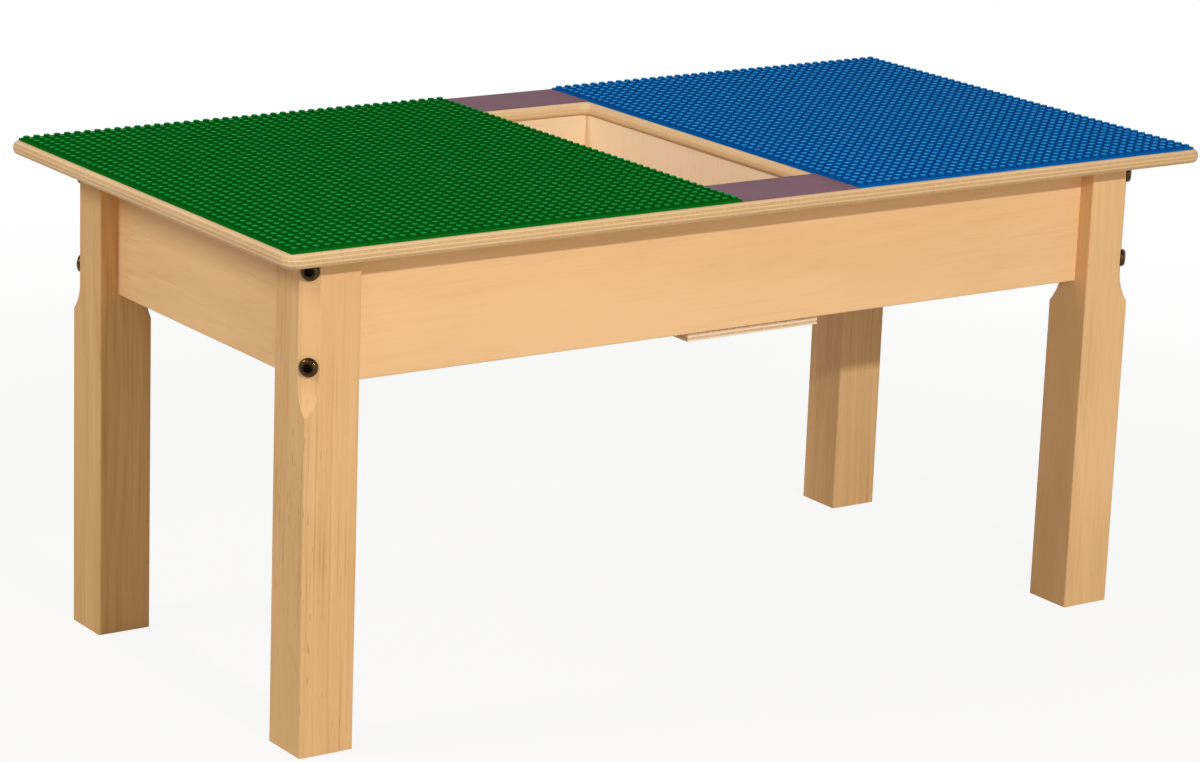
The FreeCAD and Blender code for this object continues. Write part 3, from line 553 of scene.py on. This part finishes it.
class TABLE_OT_boards(bpy.types.Operator):
    """Finishes the legs and aprons in maple, but the bin's walls and the rear apron in birch"""

    bl_idname = "play_table.boards"
    bl_label = "Boards"

    MAPLE = {
        "front_left_leg": Grain("Z", 0.04, 0.7, 0.03, 0.4),
        "front_right_leg": Grain("Z", -0.16, 0.65, 0.16, 0.1),
        # The rear left leg's darker tone is painted shade: it stands under the table, out of the front light.
        "rear_left_leg": Grain("Z", 0.46, 0.9, 0.04, 0.35),
        "rear_right_leg": Grain("Z", -0.02, 0.8, 0.05, 0.2),
        "front_apron": Grain("X", -0.36, 0.3, 0.1, 0.1),
        "left_apron": Grain("Y", -0.30, 0.45, 0.2, 0.15),
        "right_apron": Grain("Y", -0.30, 0.45, 0.16, 0.15),
    }
    BIRCH = {
        "bin_left_wall": Grain("Z", -0.1, 0.45, 0.05, 0.1),
        "bin_right_wall": Grain("Z", -0.1, 0.45, 0.05, 0.1),
        "rear_apron": Grain("X", 0.45, 0.45, 0.16, 0.1),
    }

    def execute(self, context):
        colours = context.scene.table_finishes
        for boards, pale, dark in (
                (self.MAPLE, colours.maple_pale, colours.maple_honey),
                (self.BIRCH, colours.birch_pale, colours.birch_dark)):
            for seed, (node, grain) in enumerate(boards.items(), start=1):
                dress(node, maple(f"{node}_wood", grain, seed, pale, dark, colours.maple_fleck))
        return {"FINISHED"}


class TABLE_OT_frame_wood(bpy.types.Operator):
    """Finishes the corner blocks, cleats and dowels in plain hardwood"""

    bl_idname = "play_table.frame_wood"
    bl_label = "Blocks, cleats and dowels"

    FIRST_SEED = 21
    TONE = 0.18

    def execute(self, context):
        colours = context.scene.table_finishes
        woods = {
            axis: maple(
                f"hardwood_{axis.lower()}", Grain(axis, self.TONE), seed, colours.maple_pale,
                colours.maple_honey, colours.maple_fleck)
            for seed, axis in enumerate(AXES, start=self.FIRST_SEED)}
        for corner in ("front_left", "front_right", "rear_left", "rear_right"):
            dress(f"{corner}_block", woods["Z"])
            dress(f"{corner}_cleat", woods["X"])
        for node in ("left_cleat", "right_cleat", "bin_dowels"):
            dress(node, woods["Y"])
        return {"FINISHED"}


class TABLE_OT_plywood(bpy.types.Operator):
    """Finishes the top and the bin's floor as plywood with its veneers in the edges"""

    bl_idname = "play_table.plywood"
    bl_label = "Plywood"

    def execute(self, context):
        sizes, colours = context.scene.table_sizes, context.scene.table_finishes
        for seed, (node, plies, pale, sanded) in enumerate((
                ("table_top", sizes.ply_count, colours.ply_pale, self.cut_out),
                ("bin_floor", sizes.floor_ply_count, colours.birch_pale, None)), start=1):
            low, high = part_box(node)
            dress(node, plywood(
                f"{node}_plywood", low[2], high[2], plies, pale, colours.ply_dark, seed, sanded))
        return {"FINISHED"}

    def cut_out(self, finish):
        """1 on the edges of the top's cut-out, which lie between the bin's walls and between the strips."""
        left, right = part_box("bin_left_wall")[1][0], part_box("bin_right_wall")[0][0]
        half, end = (right - left) / 2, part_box("rear_strip")[0][1]
        across, along = abs(finish.axis("X") - (left + right) / 2), abs(finish.axis("Y"))
        return (1.0 - finish.band(across, half - MM, half)) * (1.0 - finish.band(along, end, end + MM))


class TABLE_OT_strips(bpy.types.Operator):
    """Finishes the bare purple strips at the ends of the well"""

    bl_idname = "play_table.strips"
    bl_label = "Strips"

    def execute(self, context):
        colours = context.scene.table_finishes
        purple = laminate("purple_laminate", colours.purple, colours.purple_scuffed)
        for node in ("front_strip", "rear_strip"):
            dress(node, purple)
        return {"FINISHED"}


class TABLE_OT_fasteners(bpy.types.Operator):
    """Finishes the leg bolts in bronze, and the nuts and screws in zinc"""

    bl_idname = "play_table.fasteners"
    bl_label = "Bolts, nuts and screws"

    HEAD_RADIUS = 6.5 * MM
    # Reach of the painted shade round each socket.
    SHADE_RADIUS = 4.8 * MM

    def execute(self, context):
        colours = context.scene.table_finishes
        # The bolts' sockets and a ring round them get painted shade.
        dress("leg_bolts", coated_metal(
            "rubbed_bronze", colours.bronze, colours.bronze_worn, wear=0.5, rough=0.11, recess=self.sockets))
        zinc = coated_metal("zinc_plate", colours.zinc, colours.zinc_dull, wear=0.6, rough=0.30)
        for node in ("bolt_tee_nuts", "block_screws", "cleat_screws", "floor_screws"):
            dress(node, zinc)
        return {"FINISHED"}

    def sockets(self, finish):
        """1 in the bolts' sockets, fading out round them, where painted shade darkens the bronze. The bolts
        point at the middle of each leg on its diagonal, so the distance from the nearest bolt's axis is that
        of the point's
        mirror image in one leg: its height above or below the bolt, and how far it lies to the side of the
        diagonal."""
        leg_low, leg_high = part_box("front_right_leg")
        bolts_low, bolts_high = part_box("leg_bolts")
        diagonal = (leg_low[0] + leg_high[0]) / 2 + (leg_low[1] + leg_high[1]) / 2
        middle = (bolts_low[2] + bolts_high[2]) / 2
        half = (bolts_high[2] - bolts_low[2]) / 2 - self.HEAD_RADIUS
        sideways = (abs(finish.axis("X")) - abs(finish.axis("Y")) - diagonal) / math.sqrt(2)
        upwards = abs(finish.axis("Z") - middle) - half
        return 1.0 - finish.band(finish.reach(sideways, upwards), 0.5 * self.SHADE_RADIUS, self.SHADE_RADIUS)


class TABLE_OT_stage(bpy.types.Operator):
    """Makes the floor, the lights, the white surround and the camera"""

    bl_idname = "play_table.stage"
    bl_label = "Studio"

    LAMPS = (
        Lamp("key", -7.0, 25.5, 0.07, "key_power"),
        Lamp("side", -98.0, 34.0, 0.75, "side_power"),
        Lamp("fill", -10.0, 8.0, 1.6, "fill_power"),
    )
    LAMP_DISTANCE = 3.2
    AIM = Vector((0.0, 0.0, 0.22))
    FLOOR_REACH = 14.0
    FLOOR_WHITE = 0.91
    FADE_START, FADE_END = 0.6, 1.5
    SENSOR_WIDTH = 36.0

    def execute(self, context):
        stage = context.scene.table_stage
        self.make_floor(context)
        self.make_surround(context, stage)
        for lamp in self.LAMPS:
            self.make_lamp(context, lamp, getattr(stage, lamp.power))
        self.make_camera(context, stage)
        context.scene.view_settings.view_transform = "Standard"
        return {"FINISHED"}

    def make_floor(self, context):
        """A wide flat floor that fades into the white surround away from the table."""
        far = self.FLOOR_REACH
        mesh = bpy.data.meshes.new("studio_floor")
        mesh.from_pydata(
            [(-far, -far, 0.0), (far, -far, 0.0), (far, far, 0.0), (-far, far, 0.0)], [], [(0, 1, 2, 3)])
        floor = bpy.data.objects.new("studio_floor", mesh)
        context.scene.collection.objects.link(floor)
        finish = Finish("studio_floor")
        finish.surface(
            Base_Color=context.scene.table_finishes.floor, Roughness=0.85, Specular_IOR_Level=0.15)
        distance = finish.length(finish.place((1.0, 1.0, 0.0)))
        fade = finish.band(distance, self.FADE_START, self.FADE_END)
        share = (self.FLOOR_WHITE + (1.0 - self.FLOOR_WHITE) * fade) * finish.seen()
        white = finish.node("ShaderNodeEmission", inputs={"Color": WHITE, "Strength": 1.0})
        blend = finish.node("ShaderNodeMixShader", inputs={0: share, 1: finish.shader, 2: white})
        finish.put(finish.end, blend)
        mesh.materials.append(finish.material)

    def make_surround(self, context, stage):
        """White where it is seen or mirrored, and an even soft light elsewhere."""
        world = bpy.data.worlds.new("studio_surround")
        world.use_nodes = True
        context.scene.world = world
        graph = Graph(world.node_tree)
        soft = graph.node("ShaderNodeBackground", inputs={"Color": stage.shade, "Strength": stage.ambient})
        white = graph.node("ShaderNodeBackground", inputs={"Color": WHITE, "Strength": 1.0})
        light = graph.node("ShaderNodeMixShader", inputs={0: graph.seen(), 1: soft, 2: white})
        graph.node("ShaderNodeOutputWorld", inputs={"Surface": light})

    def make_lamp(self, context, lamp, power):
        """A square soft lamp at an azimuth and elevation, turned to the table."""
        turn, rise = math.radians(lamp.azimuth), math.radians(lamp.elevation)
        back = Vector((math.sin(turn) * math.cos(rise), -math.cos(turn) * math.cos(rise), math.sin(rise)))
        light = bpy.data.lights.new(f"{lamp.name}_lamp", "AREA")
        light.size = lamp.width
        light.energy = power
        stand = bpy.data.objects.new(f"{lamp.name}_lamp", light)
        stand.location = self.AIM + back * self.LAMP_DISTANCE
        stand.rotation_euler = (-back).to_track_quat("-Z", "Y").to_euler()
        context.scene.collection.objects.link(stand)

    def make_camera(self, context, stage):
        """The camera: yaw from +Y, then pitch down, then roll about the view."""
        lens = bpy.data.cameras.new("studio_camera")
        lens.sensor_fit = "HORIZONTAL"
        lens.sensor_width = self.SENSOR_WIDTH
        lens.lens = stage.camera_lens
        lens.dof.use_dof = False
        camera = bpy.data.objects.new("studio_camera", lens)
        camera.matrix_world = (
            Matrix.Translation(stage.camera_place)
            @ Matrix.Rotation(-stage.camera_yaw, 4, "Z")
            @ Matrix.Rotation(math.pi / 2 - stage.camera_pitch, 4, "X")
            @ Matrix.Rotation(stage.camera_roll, 4, "Z"))
        context.scene.collection.objects.link(camera)
        context.scene.camera = camera


class TABLE_PT_panel(bpy.types.Panel):
    """Lists the steps that dress the table"""

    bl_idname = "TABLE_PT_panel"
    bl_label = "Play table"
    bl_space_type = "VIEW_3D"
    bl_region_type = "UI"
    bl_category = "Play table"

    def draw(self, context):
        for step in STEPS:
            self.layout.operator(step.bl_idname)


STEPS = (
    TABLE_OT_plates,
    TABLE_OT_boards,
    TABLE_OT_frame_wood,
    TABLE_OT_plywood,
    TABLE_OT_strips,
    TABLE_OT_fasteners,
    TABLE_OT_stage,
)
GROUPS = {"table_sizes": TableSizes, "table_finishes": TableFinishes, "table_stage": TableStage}
CLASSES = (*GROUPS.values(), *STEPS, TABLE_PT_panel)


def register():
    for cls in CLASSES:
        bpy.utils.register_class(cls)
    for name, group in GROUPS.items():
        setattr(bpy.types.Scene, name, bpy.props.PointerProperty(type=group))


def unregister():
    for name in GROUPS:
        delattr(bpy.types.Scene, name)
    for cls in reversed(CLASSES):
        bpy.utils.unregister_class(cls)


def main():
    """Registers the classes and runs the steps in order."""
    register()
    for step in STEPS:
        group, name = step.bl_idname.split(".")
        getattr(getattr(bpy.ops, group), name)()


if __name__ == "__main__":
    main()
